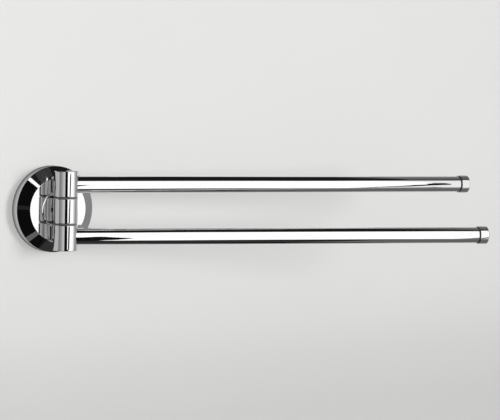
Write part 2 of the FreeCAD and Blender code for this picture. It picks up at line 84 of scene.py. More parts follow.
# post
POST_FOOT_RADIUS = 13.3
POST_FOOT_HEIGHT = 0.8
POST_FOOT_EDGE = 0.4
POST_FOOT_TOP_RADIUS = 12.1
POST_FOOT_ROUND = 0.15
POST_RADIUS = 5.5
POST_STEP = 14.7
POST_END = 16.75
POST_SCREW_RADIUS = 3.0
LOCK_SCREW_RADIUS = 2.5

# barrel, with heights from the centre knuckle's middle
AXIS_DEPTH = 22.0
BARREL_RADIUS = 8.75
OUTSIDE_BARREL = 12.0
CENTRE_TOP = 9.0
ARM_FLOOR = 9.8
ARM_TOP = 27.0
BARREL_TOP = 28.3
ARM_HEIGHT = 18.4
KNUCKLE_ROUND = 0.8
PIN_RADIUS = 4.0
BUSH_RADIUS = 5.0
POST_BORE_FLOOR = 5.2
LOCK_SCREW_BORE_END = 6.0
SPRING_SEAT_RADIUS = 7.0
SPRING_SEAT_FLOOR = 22.4
BARREL_CAP_PLUG_WALL = 1.75
BARREL_CAP_PLUG_LENGTH = 1.8
BARREL_CAP_ROUND = 0.45
FRICTION_WASHER_RADIUS = 8.4
FRICTION_WASHER_ROUND = 0.1

# arms
TUBE_RADIUS = 6.0
TUBE_BORE = 5.0
TUBE_END = 320.3
TUBE_END_ROUND = 0.12
SPIGOT_THREAD_RADIUS = 3.0
ARM_REACH = 328.3
CAP_RADIUS = 6.8
CAP_ROOT = 321.3
CAP_ROOT_ROUND = 0.2
CAP_TIP_ROUND = 0.8
CAP_PLUG_RADIUS = 4.97
CAP_PLUG_LENGTH = 12.0
CAP_PLUG_ROUND = 0.4
SHADE_SEAL_RADIUS = 6.25
SHADE_SEAL_ROUND = 0.1
ARM_ANGLES = {"upper": 10.6, "lower": 16.7}

STEPS = {"large": 256, "middle": 160, "small": 96}  # facets round a turned piece
ROUND_STEPS = 5  # facets across a rounded corner
SMOOTH_ANGLE = 30  # degrees; sharper edges stay edges
SAME_PLACE = 1e-3  # corners closer than this are one
CUT_PAST = 1.0  # how far a cutter runs past a face
COPE_HALF_HEIGHT = 20.0

# turns, in degrees, that point a lathe piece's +Z somewhere else
OFF_WALL = (90, 0, 0)
TO_WALL = (-90, 0, 0)
DOWN = (180, 0, 0)
ALONG_ARM = (0, 90, 0)


# ---------------------------------------------------------------- modelling helpers


def deselect_all():
    if bpy.context.object and bpy.context.object.mode != "OBJECT":
        bpy.ops.object.mode_set(mode="OBJECT")
    bpy.ops.object.select_all(action="DESELECT")


def make_active(piece):
    deselect_all()
    piece.select_set(True)
    bpy.context.view_layer.objects.active = piece


def select_at(piece, *places):
    """Selects the vertices of a piece in edit mode that lie at one of the places, in metres."""
    bpy.ops.mesh.select_all(action="DESELECT")
    shape = bmesh.from_edit_mesh(piece.data)
    for vertex in shape.verts:
        nearest = min((vertex.co - place).length for place in places)
        vertex.select_set(nearest < SAME_PLACE * MM)
    shape.select_flush_mode()
    bmesh.update_edit_mesh(piece.data)


def draw_outline(name, corners, rounds):
    """A closed chain of edges in the XZ plane through (across, along) corners, some rounded.

    rounds is {corner number: radius}; the two edges at such a corner meet at any angle."""
    deselect_all()
    bpy.ops.mesh.primitive_plane_add(size=MM)
    piece = bpy.context.object
    piece.name = piece.data.name = name
    bpy.ops.object.mode_set(mode="EDIT")
    bpy.ops.mesh.select_all(action="SELECT")
    bpy.ops.mesh.merge(type="CENTER")
    points = [Vector((across, 0, along)) * MM for across, along in corners]
    bpy.ops.transform.translate(value=points[0])
    for before, after in zip(points, points[1:]):
        bpy.ops.mesh.extrude_region_move(TRANSFORM_OT_translate={"value": after - before})
    select_at(piece, points[0], points[-1])
    bpy.ops.mesh.edge_face_add()
    for number, radius in rounds.items():
        here = points[number]
        to_last = (points[number - 1] - here).normalized()
        to_next = (points[(number + 1) % len(points)] - here).normalized()
        reach = radius / math.tan(to_last.angle(to_next) / 2)
        select_at(piece, here)
        bpy.ops.mesh.bevel(offset=reach * MM, segments=ROUND_STEPS, affect="VERTICES")
    return piece


def finish_shape(piece):
    """Merges seams, turns the faces outwards and gives flats and rounds clean normals."""
    make_active(piece)
    bpy.ops.object.mode_set(mode="EDIT")
    bpy.ops.mesh.select_all(action="SELECT")
    bpy.ops.mesh.remove_doubles(threshold=1e-6)
    bpy.ops.mesh.dissolve_degenerate(threshold=1e-7)
    bpy.ops.mesh.select_all(action="SELECT")
    bpy.ops.mesh.normals_make_consistent(inside=False)
    bpy.ops.object.mode_set(mode="OBJECT")
    bpy.ops.object.shade_smooth_by_angle(angle=math.radians(SMOOTH_ANGLE))
    even = piece.modifiers.new("even_normals", "WEIGHTED_NORMAL")
    even.keep_sharp = True
    even.weight = 100
    bpy.ops.object.modifier_apply(modifier=even.name)


def turn_on_lathe(name, corners, rounds=None, steps=STEPS["middle"]):
    """A piece turned about Z from (radius, height) corners."""
    piece = draw_outline(name, corners, rounds or {})
    bpy.ops.mesh.select_all(action="SELECT")
    bpy.ops.mesh.spin(steps=steps, angle=math.tau, center=(0, 0, 0), axis=(0, 0, 1))
    finish_shape(piece)
    return piece


def turn_ring(name, inner, outer, low, high, rounds=None, steps=STEPS["middle"]):
    """A ring or sleeve about Z. Corner 1 is its lower outer edge and corner 2 the upper one."""
    corners = [(inner, low), (outer, low), (outer, high), (inner, high)]
    return turn_on_lathe(name, corners, rounds, steps)


def move_to(piece, turn=(0, 0, 0), place=(0, 0, 0)):
    """Turns (degrees) and moves (millimetres) a piece, and keeps its place in its mesh."""
    make_active(piece)
    rotation = Euler([math.radians(angle) for angle in turn]).to_matrix().to_4x4()
    piece.matrix_world = Matrix.Translation(Vector(place) * MM) @ rotation
    bpy.ops.object.transform_apply(location=True, rotation=True, scale=True)


def cut_away(piece, cutter):
    """Takes the cutter's shape out of the piece."""
    make_active(piece)
    cut = piece.modifiers.new("cut", "BOOLEAN")
    cut.operation = "DIFFERENCE"
    cut.solver = "EXACT"
    cut.object = cutter
    bpy.ops.object.modifier_apply(modifier=cut.name)
    bpy.data.objects.remove(cutter)


def drill(piece, radius, start, end, turn, place=(0, 0, 0)):
    """A straight hole along Z from start to end, turned and moved to its place."""
    corners = [(0, start), (radius, start), (radius, end), (0, end)]
    bit = turn_on_lathe("drill", corners, steps=STEPS["small"])
    move_to(bit, turn, place)
    cut_away(piece, bit)
    finish_shape(piece)


def copy_of(piece, name):
    twin = piece.copy()
    twin.data = piece.data.copy()
    twin.name = twin.data.name = name
    bpy.context.scene.collection.objects.link(twin)
    return twin


# ---------------------------------------------------------------- node helpers


def feed(tree, socket, value):
    """Links a socket to another one, or sets it to a number or to an (r, g, b) colour."""
    if isinstance(value, bpy.types.NodeSocket):
        tree.links.new(value, socket)
    elif socket.type == "RGBA":
        socket.default_value = (*value, 1)
    else:
        socket.default_value = value


def noise(tree, vector, scale, detail, roughness=0.5):
    node = tree.nodes.new("ShaderNodeTexNoise")
    labels = ("Vector", "Scale", "Detail", "Roughness")
    for label, value in zip(labels, (vector, scale, detail, roughness)):
        feed(tree, node.inputs[label], value)
    return node.outputs["Fac"]


def map_range(tree, value, source, target=(0.0, 1.0), interpolation="LINEAR"):
    """Maps a value from one (low, high) range to another, and stops at its ends."""
    node = tree.nodes.new("ShaderNodeMapRange")
    node.interpolation_type = interpolation
    labels = ("Value", "From Min", "From Max", "To Min", "To Max")
    for label, entry in zip(labels, (value, *source, *target)):
        feed(tree, node.inputs[label], entry)
    return node.outputs["Result"]


def spread(tree, value, low, high):
    """The middle of a noise's or a mask's range, spread from low to high."""
    return map_range(tree, value, (0.3, 0.7), (low, high))


def blend_colour(tree, factor, first, second):
    """A mix of two colours."""
    node = tree.nodes.new("ShaderNodeMix")
    node.data_type = "RGBA"
    feed(tree, node.inputs["Factor"], factor)
    for label, colour in (("A", first), ("B", second)):
        feed(tree, [s for s in node.inputs if s.name == label and s.type == "RGBA"][0], colour)
    return [s for s in node.outputs if s.type == "RGBA"][0]


def blend_shader(tree, factor, first, second):
    """A mix of two shaders."""
    node = tree.nodes.new("ShaderNodeMixShader")
    for socket, value in zip(node.inputs, (factor, first, second)):
        feed(tree, socket, value)
    return node.outputs["Shader"]


def maths(tree, operation, *values):
    node = tree.nodes.new("ShaderNodeMath")
    node.operation = operation
    for socket, value in zip(node.inputs, values):
        feed(tree, socket, value)
    return node.outputs["Value"]


def tone_ramp(tree, factor, tones):
    """Greys along a factor, from (position, tone) pairs."""
    node = tree.nodes.new("ShaderNodeValToRGB")
    stops = node.color_ramp.elements
    while len(stops) < len(tones):
        stops.new(0.5)
    for stop, (position, tone) in zip(stops, tones):
        stop.position = position
        stop.color = (tone, tone, tone, 1)
    feed(tree, node.inputs["Fac"], factor)
    return node.outputs["Color"]


def tinted(tree, tone, colour):
    """A colour whose three parts are all scaled by one tone."""
    paint = tree.nodes.new("ShaderNodeCombineColor")
    for label, value in zip(("Red", "Green", "Blue"), colour):
        feed(tree, paint.inputs[label], maths(tree, "MULTIPLY", tone, value))
    return paint.outputs["Color"]


def new_material(name):
    """An empty Principled material and its node tree."""
    material = bpy.data.materials.new(name)
    material.use_nodes = True
    return material, material.node_tree


# ---------------------------------------------------------------- material groups


def new_group(name, inputs):
    """A node group with a Vector input and the named ones, and the sockets that they give."""
    group = bpy.data.node_groups.new(name, "ShaderNodeTree")
    group.interface.new_socket("Vector", in_out="INPUT", socket_type="NodeSocketVector")
    for label, value in inputs.items():
        is_colour = isinstance(value, tuple)
        kind = "NodeSocketColor" if is_colour else "NodeSocketFloat"
        socket = group.interface.new_socket(label, in_out="INPUT", socket_type=kind)
        socket.default_value = (*value, 1) if is_colour else value
    return group, group.nodes.new("NodeGroupInput").outputs


def close_group(group, colour, roughness, height):
    """Gives a group its three outputs."""
    outputs = {
        "Colour": ("NodeSocketColor", colour),
        "Roughness": ("NodeSocketFloat", roughness),
        "Height": ("NodeSocketFloat", height),
    }
    for label, (kind, _) in outputs.items():
        group.interface.new_socket(label, in_out="OUTPUT", socket_type=kind)
    end = group.nodes.new("NodeGroupOutput")
    for label, (_, value) in outputs.items():
        feed(group, end.inputs[label], value)
    return group


def make_wipe_group():
    """Wipe marks: broad, soft patches and fine streaks left by a cloth on a polished face."""
    group, given = new_group(
        "wipe_marks",
        {
            "Patch Scale": 60.0,
            "Clean Roughness": 0.02,
            "Wiped Roughness": 0.06,
            "Clean Colour": (0.9, 0.9, 0.9),
            "Wiped Colour": (0.85, 0.85, 0.85),
        },
    )
    patches = noise(group, given["Vector"], given["Patch Scale"], 3.0)
    stretch = group.nodes.new("ShaderNodeMapping")
    stretch.inputs["Scale"].default_value = (0.4, 1.0, 2.2)
    feed(group, stretch.inputs["Vector"], given["Vector"])
    streaks = noise(group, stretch.outputs["Vector"], 900.0, 4.0, 0.6)
    mask = maths(group, "MULTIPLY", patches, spread(group, streaks, 0.6, 1.3))
    rough = spread(group, mask, given["Clean Roughness"], given["Wiped Roughness"])
    colour = blend_colour(group, mask, given["Clean Colour"], given["Wiped Colour"])
    return close_group(group, colour, rough, mask)


def make_grain_group():
    """Fine grain with larger, faint blotches, for cast, moulded and sintered faces."""
    group, given = new_group(
        "fine_grain",
        {
            "Grain Scale": 2500.0,
            "Blotch Scale": 180.0,
            "Low Roughness": 0.35,
            "High Roughness": 0.6,
            "Dark Colour": (0.4, 0.4, 0.4),
            "Light Colour": (0.6, 0.6, 0.6),
        },
    )
    grain = noise(group, given["Vector"], given["Grain Scale"], 5.0, 0.65)
    blotch = noise(group, given["Vector"], given["Blotch Scale"], 2.0)
    mixed = group.nodes.new("ShaderNodeMix")
    mixed.data_type = "FLOAT"
    for label, value in (("Factor", 0.4), ("A", blotch), ("B", grain)):
        feed(group, mixed.inputs[label], value)
    mask = mixed.outputs["Result"]
    shade = spread(group, mask, 0.0, 1.0)
    colour = blend_colour(group, shade, given["Dark Colour"], given["Light Colour"])
    rough = spread(group, mask, given["Low Roughness"], given["High Roughness"])
    return close_group(group, colour, rough, grain)


def make_turning_group():
    """Turning marks: fine, slightly wavy lines left by the lathe."""
    group, given = new_group(
        "turning_marks",
        {
            "Ring Scale": 1400.0,
            "Low Roughness": 0.18,
            "High Roughness": 0.34,
            "Dark Colour": (0.4, 0.4, 0.4),
            "Light Colour": (0.6, 0.6, 0.6),
        },
    )
    rings = group.nodes.new("ShaderNodeTexWave")
    rings.wave_type = "BANDS"
    rings.bands_direction = "DIAGONAL"
    rings.inputs["Distortion"].default_value = 1.5
    rings.inputs["Detail"].default_value = 3.0
    feed(group, rings.inputs["Vector"], given["Vector"])
    feed(group, rings.inputs["Scale"], given["Ring Scale"])
    mask = rings.outputs["Fac"]
    colour = blend_colour(group, mask, given["Dark Colour"], given["Light Colour"])
    rough = spread(group, mask, given["Low Roughness"], given["High Roughness"])
    return close_group(group, colour, rough, mask)


WIPE_MARKS = make_wipe_group()
FINE_GRAIN = make_grain_group()
TURNING_MARKS = make_turning_group()


def make_material(name, group, values, metallic, bump_distance, bump_strength=0.4):
    """A Principled material whose colour, roughness and relief come from one group.

    bump_distance is in metres."""
    material, tree = new_material(name)
    shader = tree.nodes["Principled BSDF"]
    shader.inputs["Metallic"].default_value = metallic
    place = tree.nodes.new("ShaderNodeTexCoord")
    effect = tree.nodes.new("ShaderNodeGroup")
    effect.node_tree = group
    for label, value in values.items():
        feed(tree, effect.inputs[label], value)
    relief = tree.nodes.new("ShaderNodeBump")
    relief.inputs["Strength"].default_value = bump_strength
    relief.inputs["Distance"].default_value = bump_distance
    feed(tree, effect.inputs["Vector"], place.outputs["Object"])
    feed(tree, shader.inputs["Base Color"], effect.outputs["Colour"])
    feed(tree, shader.inputs["Roughness"], effect.outputs["Roughness"])
    feed(tree, relief.inputs["Height"], effect.outputs["Height"])
    feed(tree, shader.inputs["Normal"], relief.outputs["Normal"])
    return material


# one material for each slot
MATERIALS = {
    "chrome_plate": make_material(
        "polished_chrome",
        WIPE_MARKS,
        {
            "Clean Roughness": 0.018,
            "Wiped Roughness": 0.05,
            "Clean Colour": (0.7, 0.702, 0.7),
            "Wiped Colour": (0.66, 0.662, 0.655),
        },
        metallic=1.0,
        bump_distance=0.000002,
        bump_strength=0.15,
    ),
    "zinc_casting": make_material(
        "zinc_casting",
        FINE_GRAIN,
        {"Dark Colour": (0.36, 0.365, 0.37), "Light Colour": (0.52, 0.525, 0.53)},
        metallic=0.85,
        bump_distance=0.00006,
    ),
    "satin_steel": make_material(
        "turned_steel",
        TURNING_MARKS,
        {"Dark Colour": (0.5, 0.51, 0.52), "Light Colour": (0.66, 0.67, 0.68)},
        metallic=1.0,
        bump_distance=0.00002,
    ),
    "spring_steel": make_material(
        "spring_steel",
        TURNING_MARKS,
        {
            "Ring Scale": 2600.0,
            "Dark Colour": (0.27, 0.28, 0.3),
            "Light Colour": (0.4, 0.41, 0.43),
        },
        metallic=1.0,
        bump_distance=0.00001,
    ),
    "bronze": make_material(
        "sintered_bronze",
        FINE_GRAIN,
        {
            "Grain Scale": 4000.0,
            "Dark Colour": (0.5, 0.34, 0.18),
            "Light Colour": (0.76, 0.56, 0.33),
        },
        metallic=1.0,
        bump_distance=0.00005,
    ),
    "dark_nylon": make_material(
        "dark_nylon",
        FINE_GRAIN,
        {
            "Dark Colour": (0.02, 0.02, 0.022),
            "Light Colour": (0.045, 0.045, 0.048),
            "Low Roughness": 0.45,
            "High Roughness": 0.65,
        },
        metallic=0.0,
        bump_distance=0.00004,
    ),
    "black_oxide": make_material(
        "blackened_steel",
        FINE_GRAIN,
        {
            "Dark Colour": (0.03, 0.03, 0.033),
            "Light Colour": (0.09, 0.09, 0.095),
            "Low Roughness": 0.3,
            "High Roughness": 0.5,
        },
        metallic=0.7,
        bump_distance=0.00003,
    ),
}

# a lighter nylon than that of its slot, for the friction washers in the barrel's seams; the lighter
# tone is painted reflection, standing in for the mirrored light in those seams
SEAM_REFLECTION_NYLON = make_material(
    "washer_nylon",
    FINE_GRAIN,
    {
        "Dark Colour": (0.1, 0.1, 0.098),
        "Light Colour": (0.15, 0.15, 0.147),
        "Low Roughness": 0.3,
        "High Roughness": 0.45,
    },
    metallic=0.0,
    bump_distance=0.00004,
)

# CAD pieces that keep their own shapes, by their names without the arm's side
INNER_SLOTS = {
    "post_screw": "satin_steel",
    "post_spring_washer": "spring_steel",
    "pivot_pin": "satin_steel",
    "pin_lock_screw": "black_oxide",
    "wave_washer": "spring_steel",
    "thrust_washer": "satin_steel",
    "retaining_screw": "satin_steel",
    "bush": "bronze",
    "spigot": "satin_steel",
}


def dress(piece, material):
    piece.data.materials.clear()
    piece.data.materials.append(material)


def dress_inner_nodes():
    """Materials for the CAD pieces inside the barrel and behind the cover."""
    for name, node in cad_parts.items():
        plain = name.replace("upper_", "").replace("lower_", "")
        if plain in INNER_SLOTS:
            dress(node, MATERIALS[INNER_SLOTS[plain]])


def fit(piece, body, slot, *nodes, material=None):
    """Gives a piece its material and the body that it rides on, and hides the CAD nodes that it
    stands for.
    """
    dress(piece, material or MATERIALS[slot])
    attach(piece, body)
    if nodes:
        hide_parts(*nodes)


# ---------------------------------------------------------------- wall side


def make_cover():
    """A turned cup: straight rim, cone bevel, flat face, hollow behind."""
    lip = COVER_RADIUS - COVER_WALL
    slope = math.atan2(COVER_DEPTH - COVER_RIM_DEPTH, COVER_RADIUS - COVER_FACE_RADIUS)
    inner_face = COVER_DEPTH - COVER_WALL
    rim_inside = COVER_RIM_DEPTH - COVER_WALL * math.tan(slope / 2)
    face_inside = COVER_FACE_RADIUS - COVER_WALL * math.tan(slope / 2)
    cover = turn_on_lathe(
        "wall_cover",
        [
            (COVER_BORE_RADIUS, COVER_DEPTH),
            (COVER_FACE_RADIUS, COVER_DEPTH),
            (COVER_RADIUS, COVER_RIM_DEPTH),
            (COVER_RADIUS, 0),
            (lip, 0),
            (lip, rim_inside),
            (face_inside, inner_face),
            (COVER_BORE_RADIUS, inner_face),
        ],
        {1: COVER_EDGE_ROUND, 2: COVER_EDGE_ROUND, 3: COVER_LIP_ROUND, 4: COVER_LIP_ROUND},
        STEPS["large"],
    )
    move_to(cover, OFF_WALL)
    start = lip - COVER_WALL - CUT_PAST
    end = COVER_RADIUS + CUT_PAST
    drill(cover, COVER_SCREW_HOLE_RADIUS, start, end, DOWN, (0, -COVER_SCREW_FROM_WALL, 0))
    return cover


def make_post():
    """A thin foot on the cover's face, its edge sloped, and a hollow stem into the barrel."""
    post = turn_on_lathe(
        "post",
        [
            (POST_SCREW_RADIUS, COVER_DEPTH),
            (POST_FOOT_RADIUS, COVER_DEPTH),
            (POST_FOOT_RADIUS, COVER_DEPTH + POST_FOOT_EDGE),
            (POST_FOOT_TOP_RADIUS, COVER_DEPTH + POST_FOOT_HEIGHT),
            (POST_RADIUS, COVER_DEPTH + POST_FOOT_HEIGHT),
            (POST_RADIUS, POST_END),
            (LOCK_SCREW_RADIUS, POST_END),
            (LOCK_SCREW_RADIUS, POST_STEP),
            (POST_SCREW_RADIUS, POST_STEP),
        ],
        {2: POST_FOOT_ROUND},
    )
    move_to(post, OFF_WALL)
    return post


def make_bracket():
    """Disc with a V groove round its edge, a pocket and two countersunk holes."""
    half_groove = BRACKET_GROOVE_WIDTH / 2
    bracket = turn_on_lathe(
        "wall_bracket_disc",
        [
            (0, 0),
            (BRACKET_RADIUS, 0),
            (BRACKET_RADIUS, COVER_SCREW_FROM_WALL - half_groove),
            (BRACKET_GROOVE_RADIUS, COVER_SCREW_FROM_WALL),
            (BRACKET_RADIUS, COVER_SCREW_FROM_WALL + half_groove),
            (BRACKET_RADIUS, BRACKET_THICKNESS),
            (BRACKET_POCKET_RADIUS, BRACKET_THICKNESS),
            (BRACKET_POCKET_RADIUS, BRACKET_POCKET_FLOOR),
            (0, BRACKET_POCKET_FLOOR),
        ],
        {1: BRACKET_ROUND, 6: BRACKET_ROUND},
    )
    move_to(bracket, OFF_WALL)
    head_start = BRACKET_THICKNESS - (WALL_HOLE_HEAD_RADIUS - WALL_HOLE_RADIUS)
    for side in (-1, 1):
        hole = turn_on_lathe(
            "screw_hole",
            [
                (0, -CUT_PAST),
                (WALL_HOLE_RADIUS, -CUT_PAST),
                (WALL_HOLE_RADIUS, head_start),
                (WALL_HOLE_HEAD_RADIUS, BRACKET_THICKNESS),
                (WALL_HOLE_HEAD_RADIUS, BRACKET_THICKNESS + CUT_PAST),
                (0, BRACKET_THICKNESS + CUT_PAST),
            ],
            steps=STEPS["small"],
        )
        move_to(hole, OFF_WALL, (WALL_HOLE_FROM_MIDDLE * side, 0, 0))
        cut_away(bracket, hole)
    finish_shape(bracket)
    return bracket


def make_cover_screw():
    """Grub screw: a pointed stub with a hexagon socket, under the rim."""
    outer_end = COVER_RADIUS - COVER_SCREW_RECESS
    radius = COVER_SCREW_HOLE_RADIUS - THREAD_GAP
    screw = turn_on_lathe(
        "rim_screw",
        [
            (0, COVER_SCREW_TIP),
            (COVER_SCREW_POINT_RADIUS, COVER_SCREW_TIP),
            (radius, COVER_SCREW_TIP + COVER_SCREW_CONE_LENGTH),
            (radius, outer_end),
            (0, outer_end),
        ],
        {3: COVER_SCREW_ROUND},
        STEPS["small"],
    )
    deselect_all()
    bpy.ops.mesh.primitive_cylinder_add(
        vertices=6,
        radius=COVER_SCREW_KEY / math.sqrt(3) * MM,
        depth=2 * COVER_SCREW_KEY_DEPTH * MM,
    )
    socket = bpy.context.object
    socket.location.z = outer_end * MM
    cut_away(screw, socket)
    finish_shape(screw)
    move_to(screw, DOWN, (0, -COVER_SCREW_FROM_WALL, 0))
    return screw


# ---------------------------------------------------------------- barrel


def make_centre_knuckle():
    """Sleeve with a bore for the post and a smaller one for the screw that locks the pin."""
    knuckle = turn_ring(
        "centre_knuckle_sleeve",
        PIN_RADIUS + FIT_GAP,
        BARREL_RADIUS,
        -CENTRE_TOP,
        CENTRE_TOP,
        {1: KNUCKLE_ROUND, 2: KNUCKLE_ROUND},
    )
    drill(knuckle, POST_RADIUS + FIT_GAP, POST_BORE_FLOOR, OUTSIDE_BARREL, TO_WALL)
    drill(knuckle, LOCK_SCREW_RADIUS + FIT_GAP, PIN_RADIUS - CUT_PAST, LOCK_SCREW_BORE_END, TO_WALL)
    move_to(knuckle, place=(0, -AXIS_DEPTH, 0))
    return knuckle


def make_arm_knuckle():
    """Bored for its bush and its spring stack, and drilled for the spigot along +X."""
    bore = BUSH_RADIUS + FIT_GAP
    knuckle = turn_on_lathe(
        "upper_knuckle_sleeve",
        [
            (bore, ARM_FLOOR),
            (BARREL_RADIUS, ARM_FLOOR),
            (BARREL_RADIUS, ARM_TOP),
            (SPRING_SEAT_RADIUS, ARM_TOP),
            (SPRING_SEAT_RADIUS, SPRING_SEAT_FLOOR),
            (bore, SPRING_SEAT_FLOOR),
        ],
        {1: KNUCKLE_ROUND},
    )
    start = BUSH_RADIUS - CUT_PAST
    drill(knuckle, SPIGOT_THREAD_RADIUS, start, OUTSIDE_BARREL, ALONG_ARM, (0, 0, ARM_HEIGHT))
    return knuckle


def make_barrel_cap():
    """Disc with a softly rounded rim and a plug ring below."""
    plug = SPRING_SEAT_RADIUS - FIT_GAP
    plug_inside = plug - BARREL_CAP_PLUG_WALL
    plug_end = ARM_TOP - BARREL_CAP_PLUG_LENGTH
    return turn_on_lathe(
        "upper_barrel_end",
        [
            (0, ARM_TOP),
            (plug_inside, ARM_TOP),
            (plug_inside, plug_end),
            (plug, plug_end),
            (plug, ARM_TOP),
            (BARREL_RADIUS, ARM_TOP),
            (BARREL_RADIUS, BARREL_TOP),
            (0, BARREL_TOP),
        ],
        {6: BARREL_CAP_ROUND},
    )


def make_friction_washer():
    """Ring in the seam between two knuckles, set back from the barrel's surface."""
    return turn_ring(
        "upper_friction_ring",
        PIN_RADIUS + FIT_GAP,
        FRICTION_WASHER_RADIUS,
        CENTRE_TOP,
        ARM_FLOOR - RUNNING_GAP,
        {1: FRICTION_WASHER_ROUND, 2: FRICTION_WASHER_ROUND},
    )


# ---------------------------------------------------------------- arms


def make_tube():
    """Drawn tube along +X, its near end coped to the barrel's round side."""
    tube = turn_ring(
        "upper_arm_tube", TUBE_BORE, TUBE_RADIUS, 0, TUBE_END, {2: TUBE_END_ROUND}, STEPS["small"]
    )
    move_to(tube, ALONG_ARM)
    radius, height = BARREL_RADIUS + SEAM_GAP, COPE_HALF_HEIGHT
    corners = [(0, -height), (radius, -height), (radius, height), (0, height)]
    cut_away(tube, turn_on_lathe("cope", corners, steps=STEPS["large"]))
    finish_shape(tube)
    move_to(tube, place=(0, 0, ARM_HEIGHT))
    return tube


def make_end_cap():
    """Turned cap, larger than the tube, with its plug."""
    plug_end = TUBE_END - CAP_PLUG_LENGTH
    cap = turn_on_lathe(
        "upper_arm_end",
        [
            (0, plug_end),
            (CAP_PLUG_RADIUS, plug_end),
            (CAP_PLUG_RADIUS, CAP_ROOT),
            (CAP_RADIUS, CAP_ROOT),
            (CAP_RADIUS, ARM_REACH),
            (0, ARM_REACH),
        ],
        {1: CAP_PLUG_ROUND, 3: CAP_ROOT_ROUND, 4: CAP_TIP_ROUND},
        STEPS["small"],
    )
    move_to(cap, ALONG_ARM, (0, 0, ARM_HEIGHT))
    return cap


def make_shade_seal():
    """Seal ring between the tube and its cap, dark to stand in for the shade in the gap there: a
    painted shadow.
    """
    seal = turn_ring(
        "upper_cap_seal",
        CAP_PLUG_RADIUS + SHADE_SEAL_GAP,
        SHADE_SEAL_RADIUS,
        TUBE_END,
        CAP_ROOT,
        {1: SHADE_SEAL_ROUND, 2: SHADE_SEAL_ROUND},
        STEPS["small"],
    )
    move_to(seal, ALONG_ARM, (0, 0, ARM_HEIGHT))
    return seal


def make_both(upper, lower_name, turns_with_arm=True):
    """A lower twin, turned over about X. Both are then carried to the barrel's axis."""
    lower = copy_of(upper, lower_name)
    move_to(lower, DOWN)
    for side, piece in (("upper", upper), ("lower", lower)):
        angle = -ARM_ANGLES[side] if turns_with_arm else 0
        move_to(piece, (0, 0, angle), (0, -AXIS_DEPTH, 0))
    return {"upper": upper, "lower": lower}


# ---------------------------------------------------------------- the part

fit(make_cover(), "wall_mount", "chrome_plate", "flange_cover")
fit(make_post(), "wall_mount", "chrome_plate", "post")
fit(make_bracket(), "wall_mount", "zinc_casting", "wall_bracket")
fit(make_cover_screw(), "wall_mount", "black_oxide", "cover_grub_screw")
fit(make_centre_knuckle(), "wall_mount", "chrome_plate", "centre_knuckle")

for kind, pair in {
    "knuckle": make_both(make_arm_knuckle(), "lower_knuckle_sleeve"),
    "barrel_cap": make_both(make_barrel_cap(), "lower_barrel_end"),
    "tube": make_both(make_tube(), "lower_arm_tube"),
    "end_cap": make_both(make_end_cap(), "lower_arm_end"),
}.items():
    for side, piece in pair.items():
        fit(piece, f"{side}_arm", "chrome_plate", f"{side}_{kind}")
for side, piece in make_both(make_friction_washer(), "lower_friction_ring", False).items():
    # the washers' lighter nylon is painted reflection in the seams
    fit(piece, "wall_mount", "dark_nylon", f"{side}_friction_washer", material=SEAM_REFLECTION_NYLON)
# dark seal rings at the end caps: painted shadow in the gaps there
for side, piece in make_both(make_shade_seal(), "lower_cap_seal").items():
    fit(piece, f"{side}_arm", "dark_nylon")

dress_inner_nodes()


# ---------------------------------------------------------------- studio cards

OBJECT_MIDDLE = (150, -60, 0)
FRONT = 350  # from the wall to the panels in front of it
WHITE, MID_GREY, DARK_GREY, BLACK = 1.55, 0.17, 0.04, 0.005
CIRCLE_STEPS = 64
CARD_HOLE = COVER_RADIUS + 0.05  # radius of the hole that wall cards leave round the cover

# the white panel's outline, as (x, z) places; the flags round it share its edges
LEFT_EDGE = [(-50, -60), (-74, 10), (-84, 248)]
TONGUE = [(-165, 335), (-147, 358), (-60, 288)]
TOP_EDGE = [(-46, 297), (11, 343), (81, 393), (163, 425), (250, 400), (400, 330)]
RIGHT_EDGE = [
    (392, 120), (386, 100), (378, 60), (376, 10), (365, -20),
    (363, -60), (357, -115), (358, -176), (372, -290),
]
BOTTOM_EDGE = [
    (342, -300), (257, -315), (211, -328), (164, -358), (126, -385), (60, -425), (-50, -440),
]
FRAME_OUTSIDE = [
    (358, -600), (376, -600), (372, -176), (384, -130), (383, -100),
    (386, -60), (392, -35), (400, -10), (400, 40), (398, 98),
]
LOWER_FLAG = [
    (-110, -600), (-110, -58), (-8, -58), (2, -20), (9, -12), (18, -50), (28, -88),
    (36, -112), (43, -145), (46, -240), (50, -290), (50, -350), (56, -420), (70, -600),
]
RIM_SHADES = [(31.6, 0.1), (32.3, 0.26), (33.0, 0.38), (33.8, 0.5)]  # radius and tone


def hide_from(thing, **kinds):
    """Kinds of ray are given as camera=False, glossy=False and so on."""
    for kind, seen in kinds.items():
        setattr(thing, f"visible_{kind}", seen)


def glow_material(name, strength):
    """Even light for mirrors. A panel seen from its back isn't there."""
    material, tree = new_material(name)
    tree.nodes.clear()
    glow = tree.nodes.new("ShaderNodeEmission")
    glow.inputs["Strength"].default_value = strength
    side = tree.nodes.new("ShaderNodeNewGeometry")
    clear = tree.nodes.new("ShaderNodeBsdfTransparent")
    either = blend_shader(
        tree, side.outputs["Backfacing"], glow.outputs["Emission"], clear.outputs["BSDF"]
    )
    feed(tree, tree.nodes.new("ShaderNodeOutputMaterial").inputs["Surface"], either)
    return material


def card(name, strength, corners, toward=OBJECT_MIDDLE):
    """A studio panel or flag that only mirrors see, with its face toward a place."""
    mesh = bpy.data.meshes.new(name)
    mesh.from_pydata([Vector(corner) * MM for corner in corners], [], [range(len(corners))])
    panel = bpy.data.objects.new(name, mesh)
    bpy.context.scene.collection.objects.link(panel)
    face = mesh.polygons[0]
    if face.normal.dot(Vector(toward) * MM - face.center) < 0:
        mesh.flip_normals()
    mesh.materials.append(glow_material(name, strength))
    hide_from(panel, camera=False, diffuse=False, shadow=False)


def upright(depth, *places):
    """Corners from (x, z) places, all at one distance in front of the wall."""
    return [(x, -depth, z) for x, z in places]


def level(height, *places):
    """Corners from (x, y) places, all at one height."""
    return [(x, y, height) for x, y in places]


